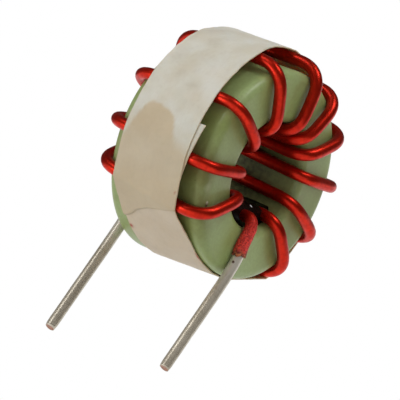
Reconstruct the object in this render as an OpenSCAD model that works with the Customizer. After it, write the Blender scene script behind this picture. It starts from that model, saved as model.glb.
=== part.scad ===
// Toroidal inductor: a coated powder ring with ten loose turns of stiff enamelled wire,
// a band of tape round the turns, and two tinned leads that stand it upright on a board.
// +Z is up and the leads point down. The ring's axis lies along Y and its front face
// looks toward -Y. The origin is on the board, midway between the two leads.

/* [Core] */
// Outer diameter of the coated ring
core_od = 27; // [24:0.5:32]
// Diameter of the bore through the ring
core_id = 14; // [13:0.5:17]
// Height of the ring along its axis
core_h = 14.6; // [12:0.2:20]
// Rounding of the two outer rims
outer_rim_r = 1.1; // [0.6:0.1:1.4]
// Rounding of the two rims of the bore
bore_rim_r = 1; // [0.5:0.1:1.4]

/* [Winding] */
// Diameter of the wire over its enamel
wire_d = 1.5; // [1:0.1:1.6]
// Room between the ring's outside and the tightest turn
side_gap = 0.2; // [0.2:0.05:1]
// Room between the ring's two faces and the turns
face_gap = 0.35; // [0.3:0.05:1]
// Room between the wall of the bore and the turns
bore_gap = 0.1; // [0.05:0.05:0.5]
// Bend radius of the wire at the outer rims
outer_bend_r = 2.7; // [2.2:0.1:3]
// Bend radius of the wire at the rims of the bore
bore_bend_r = 2.1; // [1.8:0.1:2.4]

/* [Leads] */
// Diameter of the bare tinned wire
lead_d = 1.42; // [0.9:0.02:1.5]
// Length of the front lead below the board
lead_front_l = 13.6; // [3:0.2:30]
// Length of the rear lead below the board
lead_rear_l = 15; // [3:0.2:30]
// How far to the right of the ring's axis the front lead stands
lead_front_x = 3.6; // [2.4:0.1:4.4]
// How far to the right of the ring's axis the rear lead stands
lead_rear_x = 1.2; // [0.4:0.1:2]
// Room between the ring's faces and the leads
lead_gap = 0.05; // [0.02:0.01:0.3]
// Height above the board at which the enamel ends
strip_h = 3.4; // [2.5:0.1:4]

/* [Tape] */
// Width of the tape
tape_w = 10; // [6:0.2:11]
// Thickness of the tape
tape_t = 0.2; // [0.1:0.05:0.4]
// Room between the ring's underside, with its tape, and the board
board_gap = 0.2; // [0.1:0.1:2]

/* [Adhesive] */
// Distance from the ring's axis to the flat top of the pool
pool_level = 3.6; // [3:0.1:4.5]
// How far the pool's two ends lie inside the ring's faces
pool_setback = 1.3; // [1.2:0.1:3]

/* [Hidden] */

// The pool lies deepest at this angle in the bore
pool_angle = -67;
// Hair gaps that keep touching pieces apart: round pieces, and the tape's flat facets
fit_gap = 0.02;
tape_gap = 0.08;
// Room kept under a bend, whose short straight steps cut in a little
bend_gap = 0.07;

// One row for each turn, first to last: its angle at the rear and at the front of the
// outside run, its angle at the front of the bore, and its slack at the rear and the front
turns = [
    [-33, -23, -26, -0.1, 0.3],
    [-4, 3, 6, 0.1, 0.2],
    [33, 31, 38, 0.1, 0.1],
    [68, 58, 62, 0.2, 0.3],
    [92, 82, 84, 0.2, 0.3],
    [113, 107, 105, 0.5, 0.5],
    [140, 142, 149, 0.3, 0.4],
    [177, 176, 180, 0.2, 0.1],
    [204, 211, 211, 0.1, 0.1],
    [226, 237, 239, 0.1, 0.1]
];
last = len(turns) - 1;

// The wire's centre line keeps these distances from the ring's axis and middle plane
run_r = core_od / 2 + side_gap + wire_d / 2;
bore_r = core_id / 2 - bore_gap - wire_d / 2;
face_y = core_h / 2 + face_gap + wire_d / 2;
lead_y = core_h / 2 + lead_gap + wire_d / 2;

core_z = core_od / 2 + tape_gap + tape_t + board_gap;
foot_x = (lead_front_x + lead_rear_x) / 2;
strip_z = strip_h - core_z;

// Above the board each lead leans a little to the left, from a knee of this angle
knee_front = 4.2;
knee_rear = 2.4;
function lean_x(x, angle, z) = x - (z + core_z) * tan(angle);
function front_x(z) = lean_x(lead_front_x, knee_front, z);
function rear_x(z) = lean_x(lead_rear_x, knee_rear, z);

// Angles in the bore of the passes that end in the leads. The first one lies this far
// to the left of the front lead.
first_inset = 1.6;
first_angle = -acos((lead_front_x - first_inset) / bore_r);
final_angle = 360 - acos(rear_x(-bore_r) / bore_r);

// Where it was bent by hand on its way down from the bore to the enamel's end: the share
// of that way, and how far to the left of the lean it lies
hand_bends = [[0.25, 0.75], [0.56, 0.65], [0.9, 0]];
hand_bend_r = 1.2;
exit_bend_r = 1.5;

function polar(r, angle, y) = [r * cos(angle), y, r * sin(angle)];
function unit(v) = v / norm(v);
function between(p, q, share) = p + (q - p) * share;

// Angle at the rear end of the bore pass that leads on from turn i
function next_rear(i) = i < last ? turns[i + 1][0] : final_angle;
function pass_rear(i) = i < last ? (turns[i][2] + next_rear(i)) / 2 : final_angle;
first_pass_rear = (first_angle + turns[0][0]) / 2;

// The straight stretches of each bore pass, front end first
passes = concat(
    [[polar(bore_r, first_angle, -lead_y), polar(bore_r, first_pass_rear, face_y)]],
    [for (i = [0:last])
        [polar(bore_r, turns[i][2], -face_y),
         polar(bore_r, pass_rear(i), i < last ? face_y : lead_y)]]
);

// Largest bend that still clears a rounded rim, for the wire's room on either side of it
function bend_limit(room_1, room_2, rim_r) =
    let (
        near = rim_r + wire_d / 2,
        a = room_1 + near,
        b = room_2 + near,
        clear = near + bend_gap,
        sum = a + b - clear
    )
    sum + sqrt(max(0, sum * sum - a * a - b * b + clear * clear));
function outer_bend(slack) =
    min(outer_bend_r + slack, bend_limit(side_gap + slack, face_gap, outer_rim_r));
bore_bend = min(bore_bend_r, bend_limit(bore_gap, face_gap, bore_rim_r));
lead_bend = min(bore_bend_r, bend_limit(bore_gap, lead_gap, bore_rim_r));

// Corners of the wire's route with the bend radius of each, from front lead to rear lead
hand_corners = [for (b = hand_bends)
    let (z = between(-core_id / 2, strip_z, b[0]))
    [[front_x(z) - b[1], -lead_y, z], hand_bend_r]];
lead_front_start = [front_x(strip_z), -lead_y, strip_z];
lead_rear_start = [rear_x(strip_z), lead_y, strip_z];
function turn_corners(i) = [
    [polar(run_r + turns[i][3], turns[i][0], face_y), outer_bend(turns[i][3])],
    [polar(run_r + turns[i][4], turns[i][1], -face_y), outer_bend(turns[i][4])],
    [passes[i + 1][0], bore_bend],
    [passes[i + 1][1], i < last ? bore_bend : lead_bend]
];
corners = concat(
    [[lead_front_start, 0]],
    [for (i = [len(hand_corners) - 1:-1:0]) hand_corners[i]],
    [[passes[0][0], exit_bend_r], [passes[0][1], bore_bend]],
    [for (i = [0:last]) each turn_corners(i)],
    [[lead_rear_start, 0]]
);

// Points on the arc that rounds corner q between p and s
function arc(p, q, s, r, steps) =
    let (
        u = unit(p - q),
        v = unit(s - q),
        half = acos(u * v) / 2,
        centre = q + unit(u + v) * r / sin(half),
        e1 = (q + u * r / tan(half) - centre) / r,
        e2 = unit(cross(cross(e1, q + v * r / tan(half) - centre), e1)),
        turn = 180 - 2 * half
    )
    [for (k = [0:steps]) centre + r * (e1 * cos(turn * k / steps) + e2 * sin(turn * k / steps))];

arc_steps = 6;
wire_sides = 12;
route = concat(
    [corners[0][0]],
    [for (i = [1:len(corners) - 2])
        each arc(corners[i - 1][0], corners[i][0], corners[i + 1][0], corners[i][1], arc_steps)],
    [corners[len(corners) - 1][0]]
);

// Triangles of the wall that joins n rings of the same number of sides
function tube_walls(n, sides) = [
    for (i = [0:n - 2], k = [0:sides - 1])
        let (a = i * sides + k, b = i * sides + (k + 1) % sides)
        each [[a, a + sides, b], [b, a + sides, b + sides]]
];

// A round solid swept along a list of points, closed at both ends
module sweep(points, r, sides) {
    n = len(points);
    rings = [for (i = [0:n - 1])
        let (
            t = unit(points[min(i + 1, n - 1)] - points[max(i - 1, 0)]),
            across = cross([0, 1, 0], [points[i][0], 0, points[i][2]]),
            u = unit(across - t * (across * t)),
            v = cross(t, u)
        )
        each [for (k = [0:sides - 1])
            points[i] + r * (u * cos(360 * k / sides) + v * sin(360 * k / sides))]];
    caps = [[for (k = [0:sides - 1]) k], [for (k = [1:sides]) n * sides - k]];
    polyhedron(points = rings, faces = concat(tube_walls(n, sides), caps), convexity = 12);
}

// Puts what is drawn round the ring's centre onto the board
module in_place() {
    translate([-foot_x, 0, core_z]) children();
}

module core() {
    color("darkseagreen") in_place() rotate([90, 0, 0]) rotate_extrude($fn = 128)
        difference() {
            translate([core_id / 2, -core_h / 2]) square([(core_od - core_id) / 2, core_h]);
            for (side = [-1, 1]) {
                rim_cut(core_od / 2, side, -1, outer_rim_r);
                rim_cut(core_id / 2, side, 1, bore_rim_r);
            }
        }
}

// The corner that a rounded rim leaves off the ring's section
module rim_cut(r, side, inward, rim_r) {
    difference() {
        translate([r, side * core_h / 2]) square(2 * rim_r, center = true);
        translate([r + inward * rim_r, side * (core_h / 2 - rim_r)]) circle(rim_r, $fn = 48);
    }
}

module winding() {
    color("firebrick") in_place() sweep(route, wire_d / 2, wire_sides);
}

// The space above (0) or below (-1) the mitre plane of a knee
module knee_side(angle, side) {
    reach = 2 * lead_d;
    rotate([0, -angle / 2, 0]) translate([-reach / 2, -reach / 2, side * reach]) cube(reach);
}

// A bare lead: straight below the board, and mitred there into its lean up to the enamel
module lead(x, y, length, angle) {
    color("silver") in_place() translate([x, y, -core_z]) union() {
        difference() {
            translate([0, 0, -length]) cylinder(d = lead_d, h = length + lead_d, $fn = 48);
            knee_side(angle, 0);
        }
        difference() {
            rotate([0, -angle, 0]) translate([0, 0, -lead_d])
                cylinder(d = lead_d, h = strip_h / cos(angle) + lead_d, $fn = 48);
            knee_side(angle, -1);
        }
    }
}

module lead_front() {
    lead(lead_front_x, -lead_y, lead_front_l, knee_front);
}

module lead_rear() {
    lead(lead_rear_x, lead_y, lead_rear_l, knee_rear);
}

// A straight round rod from p to q
module rod(p, q, d) {
    v = q - p;
    translate(p) rotate([0, acos(v[2] / norm(v)), atan2(v[1], v[0])])
        cylinder(d = d, h = norm(v), $fn = 48);
}

// How far forward depth y lies on a turn's outside run, from 0 at its rear to 1 at its front
function forward(y) = (face_y - y) / (2 * face_y);

// Angle at which the tape crosses turn i at depth y, and the radius of its inner side there
function rest_angle(i, y) = between(turns[i][0], turns[i][1], forward(y));
function rest_r(i, y) =
    run_r + between(turns[i][3], turns[i][4], forward(y)) + wire_d / 2 + tape_gap;

// Below the last turn and the first one the tape runs straight down onto the ring
floor_r = core_od / 2 + tape_gap;
wrap_r = wire_d / 2 + tape_gap;
function lean(i, y) = acos((floor_r - wrap_r) / (rest_r(i, y) - wrap_r));
function down(i, a, y) = min(rest_r(i, y), floor_r / cos(max(0, lean(i, y) - a)));

// Radius of the tape's inner side at an angle round the ring and a depth y along it
function tape_r(angle, y) =
    let (
        a = (angle - rest_angle(last, y) + 360) % 360,
        open_span = 360 + rest_angle(0, y) - rest_angle(last, y)
    )
    a >= open_span ? over_turns(a - open_span + rest_angle(0, y), y)
    : max(down(last, a, y), down(0, open_span - a, y));

// Between two turns the stiff tape bows a little toward the ring
function over_turns(a, y) =
    let (
        i = max([for (k = [0:last - 1]) if (a >= rest_angle(k, y)) k]),
        u = (a - rest_angle(i, y)) / (rest_angle(i + 1, y) - rest_angle(i, y)),
        ease = u * u * (3 - 2 * u)
    )
    between(rest_r(i, y), rest_r(i + 1, y), ease) - tape_dip * sin(180 * u);

// The tape laps over its own start and wanders sideways along the axis
tape_dip = 0.15;
tape_from = 193;
tape_lap = 42.5;
lap_rise = 12;
tape_wander = [[193, -1.1], [207, -0.7], [219, -0.2], [240, 0.1], [250, -0.3], [262, -0.55],
    [280, -0.9], [300, -0.85], [400, -0.15], [480, 0.2], [510, 0.1], [530, -0.1],
    [553, -0.3], [580, -0.3], [596, -0.1]];
// Its end is cut in a curve: this many degrees further, from the front edge (0) to the rear (1)
end_reach = [[0, 0.5], [0.25, 3.8], [0.5, 6.4], [0.75, 11.5], [1, 19]];
// Over the top its front edge is drawn in by this much, at these angles
tape_draw_in = [[380, 0], [410, 0.8], [470, 1.2], [487, 1.1], [503, 0]];

module tape() {
    step = 2.5;
    strips = 4;
    tape_to = tape_from + 360 + tape_lap;
    // The lap keeps twice the gap, because its facets cut in where it leaves the last turn
    lift = tape_t + 2 * tape_gap;
    // Places along the tape, the last one on its cut end
    stations = concat([for (a = [tape_from:step:tape_to]) [a, 0]], [[tape_to, 1]]);
    // Once round the tape's section: out from the ring or in, and across from front to rear
    section = concat([for (k = [0:strips]) [1, k / strips]],
        [for (k = [strips:-1:0]) [0, k / strips]]);
    points = [for (place = stations, s = section)
        let (
            a = place[0],
            drawn_in = (1 - s[1]) * lookup(a, tape_draw_in),
            y = lookup(a, tape_wander) + (s[1] - 0.5) * tape_w + drawn_in,
            cut = a + place[1] * lookup(s[1], end_reach),
            risen = lift * min(1, max(0, (a - tape_from - 360) / lap_rise + 1))
        )
        polar(tape_r(cut, y) + risen + s[0] * tape_t, cut, y)];
    sides = len(section);
    n = len(stations);
    start = [for (k = [0:strips - 1])
        each [[k, k + 1, sides - 2 - k], [k, sides - 2 - k, sides - 1 - k]]];
    end = [for (t = start) [for (k = [2:-1:0]) t[k] + (n - 1) * sides]];
    color("antiquewhite") in_place() polyhedron(points = points, convexity = 6,
        faces = concat(tube_walls(n, sides), start, end));
}

module adhesive() {
    pool_l = core_h - 2 * pool_setback;
    color("black") in_place() difference() {
        rotate([90, 0, 0]) intersection() {
            cylinder(r = core_id / 2 - fit_gap, h = pool_l, center = true, $fn = 96);
            rotate(pool_angle) translate([pool_level, -core_id / 2, -pool_l / 2])
                cube([core_id, core_id, pool_l]);
        }
        for (pass = [passes[0], passes[1], passes[last + 1]])
            rod(pass[0], pass[1], wire_d + 2 * fit_gap);
    }
}

core();
winding();
lead_front();
lead_rear();
tape();
adhesive();
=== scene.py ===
"""Looks of the toroidal inductor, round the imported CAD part.

Shapes are worked out in millimetres round the ring's centre, with the ring's axis along Y, and
moved onto the part as they become meshes. Angles are in degrees in the XZ plane.
"""

import math

import bmesh
import bpy
import numpy as np
from mathutils import Matrix, Vector, noise


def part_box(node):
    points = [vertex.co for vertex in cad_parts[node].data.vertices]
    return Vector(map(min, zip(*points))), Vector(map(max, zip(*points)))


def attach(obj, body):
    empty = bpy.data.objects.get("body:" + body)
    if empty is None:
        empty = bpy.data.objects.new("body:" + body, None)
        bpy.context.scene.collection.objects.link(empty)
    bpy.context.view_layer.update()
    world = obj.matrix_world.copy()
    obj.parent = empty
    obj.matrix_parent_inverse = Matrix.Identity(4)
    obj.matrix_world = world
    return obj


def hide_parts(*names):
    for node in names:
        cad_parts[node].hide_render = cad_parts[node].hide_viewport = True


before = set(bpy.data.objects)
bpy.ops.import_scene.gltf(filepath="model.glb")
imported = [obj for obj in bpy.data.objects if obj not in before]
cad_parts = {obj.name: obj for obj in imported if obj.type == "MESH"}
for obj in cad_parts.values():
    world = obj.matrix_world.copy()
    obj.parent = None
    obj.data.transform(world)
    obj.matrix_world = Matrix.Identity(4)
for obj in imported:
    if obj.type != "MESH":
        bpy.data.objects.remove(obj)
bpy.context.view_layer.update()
MM = 0.001


def node_box(node):
    """The node's lowest and highest corner, in millimetres."""
    low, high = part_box(node)
    return np.array(low) / MM, np.array(high) / MM


# -------- sizes, from the frame

core_low, core_high = node_box("core")
CENTRE = (core_low + core_high) / 2
CORE_R = (core_high - core_low)[0] / 2
CORE_H = (core_high - core_low)[1]
BORE_WALL_R = 7.0
OUTER_RIM_R, BORE_RIM_R = 1.1, 1.0

WIRE_R = 0.75
LEAD_R = 0.71
FACE_Y = node_box("winding")[1][1] - WIRE_R
SIDE_GAP, BORE_GAP, LEAD_GAP = 0.2, 0.1, 0.05
FACE_GAP = FACE_Y - WIRE_R - CORE_H / 2
RUN_R = CORE_R + SIDE_GAP + WIRE_R
BORE_R = BORE_WALL_R - BORE_GAP - WIRE_R
LEAD_Y = CORE_H / 2 + LEAD_GAP + WIRE_R

front_low, front_high = node_box("lead_front")
rear_low, rear_high = node_box("lead_rear")
BOARD_Z = -CENTRE[2]
STRIP_Z = 3.4 + BOARD_Z
LEAD_FRONT_X = front_high[0] - LEAD_R - CENTRE[0]
LEAD_REAR_X = rear_high[0] - LEAD_R - CENTRE[0]
LEAD_FRONT_L, LEAD_REAR_L = -front_low[2], -rear_low[2]
KNEE_FRONT, KNEE_REAR = 4.2, 2.4

# -------- small vector helpers


def rad(degrees):
    return degrees * math.pi / 180


def polar(r, angle, y):
    return np.array([r * math.cos(rad(angle)), y, r * math.sin(rad(angle))])


def unit(v):
    return v / np.linalg.norm(v)


def between(p, q, share):
    return p + (q - p) * share


def smooth(t):
    t = np.clip(t, 0, 1)
    return t * t * (3 - 2 * t)


def wobble(x, y=0.0, z=0.0):
    """Smooth noise from -1 to 1."""
    return noise.noise(Vector((x, y, z)))


def round_wobble(scale, angle, along):
    """Smooth noise that closes on itself once round the ring."""
    return wobble(scale * math.cos(rad(angle)), scale * math.sin(rad(angle)), along)


# -------- the wire's route

# Each turn: rear angle, front angle, angle at the front of the bore, slack at rear and front
TURNS = [
    (-33, -23, -26, -0.1, 0.3),
    (-4, 3, 6, 0.1, 0.2),
    (33, 31, 38, 0.1, 0.1),
    (68, 58, 62, 0.2, 0.3),
    (92, 82, 84, 0.2, 0.3),
    (113, 107, 105, 0.5, 0.5),
    (140, 142, 149, 0.3, 0.4),
    (177, 176, 180, 0.2, 0.1),
    (204, 211, 211, 0.1, 0.1),
    (226, 237, 239, 0.1, 0.1),
]
LAST = len(TURNS) - 1
OUTER_BEND_R, BORE_BEND_R, HAND_BEND_R, EXIT_BEND_R = 2.7, 2.1, 1.2, 1.5
HAND_BENDS = [(0.25, 0.75), (0.56, 0.65), (0.9, 0.0)]
FIRST_INSET = 1.6
# The wire springs off the bore's wall a little where it leaves the bore
EXIT_LIFT = np.array([-0.25, 0, 0.6])
BEND_GAP = 0.07
ARC_STEPS = 14
# Passes that soften the route's joints, and those that round its turns after sharpening them
SOFT_PASSES, BEND_PASSES, SHARPEN = 6, 50, 0.6
# This much of each end keeps its route, and the change to the rounded one takes this long
FIRM_END, FIRM_OVER = 9, 5


def lean_x(x, angle, z):
    """Where a leaning lead is at height z; x is where it stands on the board."""
    return x - (z - BOARD_Z) * math.tan(rad(angle))


def bend_limit(room_1, room_2, rim_r):
    """The largest bend of the wire that still clears a rounded rim."""
    near = rim_r + WIRE_R
    a, b, clear = room_1 + near, room_2 + near, near + BEND_GAP
    total = a + b - clear
    return total + math.sqrt(max(0, total**2 - a * a - b * b + clear**2))


def outer_bend(slack):
    return min(OUTER_BEND_R + slack, bend_limit(SIDE_GAP + slack, FACE_GAP, OUTER_RIM_R))


def wire_corners():
    """Corners of the wire's route with their bend radii, from the front lead to the rear lead."""
    bore_bend = min(BORE_BEND_R, bend_limit(BORE_GAP, FACE_GAP, BORE_RIM_R))
    lead_bend = min(BORE_BEND_R, bend_limit(BORE_GAP, LEAD_GAP, BORE_RIM_R))
    rear_exit = lean_x(LEAD_REAR_X, KNEE_REAR, -BORE_R)
    first = -math.degrees(math.acos((LEAD_FRONT_X - FIRST_INSET) / BORE_R))
    final = 360 - math.degrees(math.acos(rear_exit / BORE_R))
    found = [(np.array([lean_x(LEAD_FRONT_X, KNEE_FRONT, STRIP_Z), -LEAD_Y, STRIP_Z]), 0)]
    for share, left in reversed(HAND_BENDS):
        z = between(-BORE_WALL_R, STRIP_Z, share)
        found.append(
            (np.array([lean_x(LEAD_FRONT_X, KNEE_FRONT, z) - left, -LEAD_Y, z]), HAND_BEND_R)
        )
    found.append((polar(BORE_R, first, -LEAD_Y) + EXIT_LIFT, EXIT_BEND_R))
    found.append((polar(BORE_R, (first + TURNS[0][0]) / 2, FACE_Y), bore_bend))
    for i, (rear, front, bore, rear_slack, front_slack) in enumerate(TURNS):
        found.append((polar(RUN_R + rear_slack, rear, FACE_Y), outer_bend(rear_slack)))
        found.append((polar(RUN_R + front_slack, front, -FACE_Y), outer_bend(front_slack)))
        found.append((polar(BORE_R, bore, -FACE_Y), bore_bend))
        if i < LAST:
            found.append((polar(BORE_R, (bore + TURNS[i + 1][0]) / 2, FACE_Y), bore_bend))
        else:
            found.append((polar(BORE_R, final, LEAD_Y), lead_bend))
    found.append((np.array([lean_x(LEAD_REAR_X, KNEE_REAR, STRIP_Z), LEAD_Y, STRIP_Z]), 0))
    return found


def arc(p, q, s, r, steps):
    """Points on the arc that rounds corner q between p and s."""
    u, v = unit(p - q), unit(s - q)
    half = math.acos(np.clip(u @ v, -1, 1)) / 2
    centre = q + unit(u + v) * r / math.sin(half)
    start, end = q + u * r / math.tan(half) - centre, q + v * r / math.tan(half) - centre
    e1 = start / r
    e2 = unit(np.cross(np.cross(e1, end), e1))
    turn = math.pi - 2 * half
    return [
        centre + r * (e1 * math.cos(turn * k / steps) + e2 * math.sin(turn * k / steps))
        for k in range(steps + 1)
    ]


def evenly(points, spacing):
    """The same route with points at an even spacing, ends included."""
    points = np.array(points)
    along = np.concatenate([[0], np.cumsum(np.linalg.norm(np.diff(points, axis=0), axis=1))])
    count = max(2, int(round(along[-1] / spacing)) + 1)
    at = np.linspace(0, along[-1], count)
    return np.stack([np.interp(at, along, points[:, k]) for k in range(3)], 1), at


def relaxed(points, passes):
    """Softens the joints between straights and arcs, as a hand-bent wire has them."""
    points = points.copy()
    for _ in range(passes):
        points[1:-1] = (points[:-2] + 2 * points[1:-1] + points[2:]) / 4
    return points


def rounded(route, at):
    """Rounds the turns as stiff wire takes them.

    The two ends, with their tight bends by hand, keep the route they have."""
    from_start, from_end = at - FIRM_END, at[-1] - at - FIRM_END
    free = np.minimum(smooth(from_start / FIRM_OVER), smooth(from_end / FIRM_OVER))[:, None]
    sharper = route + SHARPEN * (route - relaxed(route, BEND_PASSES))
    return route + (relaxed(sharper, BEND_PASSES) - route) * free


def wire_route(spacing):
    corners = wire_corners()
    points = [corners[0][0]]
    for (p, _), (q, r), (s, _) in zip(corners, corners[1:], corners[2:]):
        points += arc(p, q, s, r, ARC_STEPS)
    points.append(corners[-1][0])
    route, at = evenly(points, spacing)
    return rounded(relaxed(route, SOFT_PASSES), at), at


# -------- meshes


def make_piece(name, verts, faces, material, replaces, attributes=None, uv=None):
    """A smooth mesh from points in ring millimetres, riding on the part."""
    mesh = bpy.data.meshes.new(name)
    verts = (np.asarray(verts) + CENTRE) * MM
    mesh.from_pydata(verts.tolist(), [], faces)
    mesh.validate()
    shape = bmesh.new()
    shape.from_mesh(mesh)
    bmesh.ops.recalc_face_normals(shape, faces=shape.faces)
    shape.to_mesh(mesh)
    shape.free()
    mesh.shade_smooth()
    for key, values in (attributes or {}).items():
        made = mesh.attributes.new(key, "FLOAT", "POINT")
        made.data.foreach_set("value", np.asarray(values, np.float32))
    if uv is not None:
        corner = np.zeros(len(mesh.loops), np.int32)
        mesh.loops.foreach_get("vertex_index", corner)
        layer = mesh.uv_layers.new(name="Along")
        layer.uv.foreach_set("vector", np.asarray(uv, np.float32)[corner].ravel())
    mesh.materials.append(material)
    obj = bpy.data.objects.new(name, mesh)
    bpy.context.scene.collection.objects.link(obj)
    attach(obj, "root")
    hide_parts(*replaces)


def frames_along(points):
    """Two directions square to the route at each point, carried along without twist."""
    tangents = np.gradient(points, axis=0)
    tangents /= np.linalg.norm(tangents, axis=1)[:, None]
    u = unit(np.cross(tangents[0], [0.3, 1.0, 0.2]))
    us = []
    for t in tangents:
        u = unit(u - t * (u @ t))
        us.append(u)
    us = np.array(us)
    return us, np.cross(tangents, us), tangents


def tube(points, radii, end_cap):
    """Rings of a tube round a route; radii has one row for each point and a column for each side."""
    sides = radii.shape[1]
    us, vs, _ = frames_along(points)
    turn = np.linspace(0, 2 * math.pi, sides, endpoint=False)
    ring = us[:, None] * np.cos(turn)[None, :, None] + vs[:, None] * np.sin(turn)[None, :, None]
    verts = points[:, None] + ring * radii[..., None]
    faces = grid_faces(len(points), sides, True)
    if end_cap:
        base = (len(points) - 1) * sides
        faces.append([base + k for k in range(sides)])
    return verts, faces


def end_band(sides, base):
    """Faces from a tube's first ring to another ring of points, which starts at base."""
    return [[k, (k + 1) % sides, base + (k + 1) % sides, base + k] for k in range(sides)]


def tube_uv(at, sides):
    """Millimetres along a tube, and the share of the way round it, mirrored to leave no seam."""
    across = np.abs(np.linspace(-1, 1, sides))
    return np.stack([np.repeat(at, sides), np.tile(across, len(at))], 1)


def grid_faces(rows, columns, closed, base=0, flip=False):
    """Faces between rows of points; a closed grid joins its last column to its first."""
    faces = []
    for i in range(rows - 1):
        for k in range(columns if closed else columns - 1):
            a, b = base + i * columns + k, base + i * columns + (k + 1) % columns
            face = [a, a + columns, b + columns, b]
            faces.append(face[::-1] if flip else face)
    return faces


# -------- material helpers


class Nodes:
    """A material's node tree, built by short calls."""

    def __init__(self, name):
        self.material = bpy.data.materials.new(name)
        self.material.use_nodes = True
        self.tree = self.material.node_tree
        self.tree.nodes.clear()
        self.shader = self.add("ShaderNodeBsdfPrincipled")
        self.out = self.add("ShaderNodeOutputMaterial")
        self.link(self.shader.outputs[0], self.out.inputs["Surface"])
        self.place = self.add("ShaderNodeTexCoord").outputs["Object"]

    def add(self, kind, **settings):
        made = self.tree.nodes.new(kind)
        for key, value in settings.items():
            setattr(made, key, value)
        return made

    def link(self, source, target):
        self.tree.links.new(source, target)

    def feed(self, target, value):
        if isinstance(value, bpy.types.NodeSocket):
            self.link(value, target)
        else:
            target.default_value = value

    def set(self, **values):
        for key, value in values.items():
            self.feed(self.shader.inputs[key.replace("_", " ")], value)

    def scaled(self, source, scale):
        node = self.add("ShaderNodeMapping")
        self.link(source, node.inputs["Vector"])
        node.inputs["Scale"].default_value = scale
        return node.outputs[0]

    def noise(self, scale, detail=3.0, rough=0.55, vector=None, distortion=0.0):
        node = self.add("ShaderNodeTexNoise")
        self.link(vector or self.place, node.inputs["Vector"])
        node.inputs["Scale"].default_value = scale
        node.inputs["Detail"].default_value = detail
        node.inputs["Roughness"].default_value = rough
        node.inputs["Distortion"].default_value = distortion
        return node.outputs["Fac"]

    def patches(self, scale, detail, low, high, **how):
        """Noise drawn out from 0 at one of its levels to 1 at another."""
        return self.ramp(self.noise(scale, detail, **how), (low, 0.0), (high, 1.0))

    def specks(self, scale, size):
        """1 in small round spots, 0 elsewhere."""
        node = self.add("ShaderNodeTexVoronoi")
        self.link(self.place, node.inputs["Vector"])
        node.inputs["Scale"].default_value = scale
        return self.ramp(node.outputs["Distance"], (0.0, 1.0), (size, 0.0))

    def spot(self, place, radius, soft):
        """1 near a point given in ring millimetres, falling to 0 over a soft rim."""
        node = self.add("ShaderNodeVectorMath", operation="DISTANCE")
        self.link(self.place, node.inputs[0])
        node.inputs[1].default_value = tuple((np.array(place) + CENTRE) * MM)
        share = self.math("DIVIDE", node.outputs["Value"], (radius + soft) * MM)
        return self.ramp(share, (radius / (radius + soft), 1.0), (1.0, 0.0))

    def round_ring(self):
        """Shares of the way from the ring's axis to its outer wall, and from front face to rear."""
        node = self.add("ShaderNodeVectorMath", operation="SUBTRACT")
        self.link(self.place, node.inputs[0])
        node.inputs[1].default_value = tuple(CENTRE * MM)
        length = self.add("ShaderNodeVectorMath", operation="LENGTH")
        self.link(self.scaled(node.outputs[0], (1, 0, 1)), length.inputs[0])
        parts = self.add("ShaderNodeSeparateXYZ")
        self.link(node.outputs[0], parts.inputs[0])
        out = self.math("DIVIDE", length.outputs["Value"], CORE_R * MM)
        return out, self.math("ADD", self.math("DIVIDE", parts.outputs["Y"], CORE_H * MM), 0.5)

    def attribute(self, name):
        return self.add("ShaderNodeAttribute", attribute_name=name).outputs["Fac"]

    def along(self):
        """The piece's own millimetres: along its length, then across or round it."""
        return self.add("ShaderNodeUVMap", uv_map="Along").outputs[0]

    def ramp(self, source, *stops):
        """Straight lines between (input, output) stops."""
        node = self.add("ShaderNodeValToRGB")
        ramp = node.color_ramp
        while len(ramp.elements) > len(stops):
            ramp.elements.remove(ramp.elements[-1])
        while len(ramp.elements) < len(stops):
            ramp.elements.new(1.0)
        for element, (at, value) in zip(ramp.elements, stops):
            element.position = at
            element.color = (value, value, value, 1) if np.isscalar(value) else (*value, 1)
        self.link(source, node.inputs["Fac"])
        return node.outputs["Color"]

    def math(self, kind, a, b):
        node = self.add("ShaderNodeMath", operation=kind)
        self.feed(node.inputs[0], a)
        self.feed(node.inputs[1], b)
        return node.outputs[0]

    def times(self, a, b):
        return self.math("MULTIPLY", a, b)

    def mix(self, share, a, b):
        node = self.add("ShaderNodeMix", data_type="RGBA")
        self.feed(node.inputs["Factor"], share)
        for key, value in (("A", a), ("B", b)):
            socket = [s for s in node.inputs if s.name == key and s.type == "RGBA"][0]
            self.feed(socket, value if isinstance(value, bpy.types.NodeSocket) else (*value, 1))
        return [s for s in node.outputs if s.type == "RGBA"][0]

    def bump(self, height, strength, depth, under=None):
        node = self.add("ShaderNodeBump")
        self.link(height, node.inputs["Height"])
        node.inputs["Strength"].default_value = strength
        node.inputs["Distance"].default_value = depth
        if under is not None:
            self.link(under, node.inputs["Normal"])
        return node.outputs[0]


# -------- materials

# Marks, in ring millimetres: painted shade with some brown grime beside the tape, a pale blotch,
# and a chip with a painted glint and a dark brown spot beside it on the core's front rim, flux on
# the front lead and a painted glint on the adhesive
SHADE_AND_GRIME_AT, BLOTCH_AT = (-9.3, -6.8, -9.3), (-8.95, -7.3, -8.45)
CHIP_AND_GLINT_AT, RUN_AT = (-7.36, -7.3, -9.66), (-7.2, -7.3, -10.0)
FLUX_AT, GLINT_AT = (2.72, -8.28, -11.3), (2.65, -5.71, -3.35)


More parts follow.
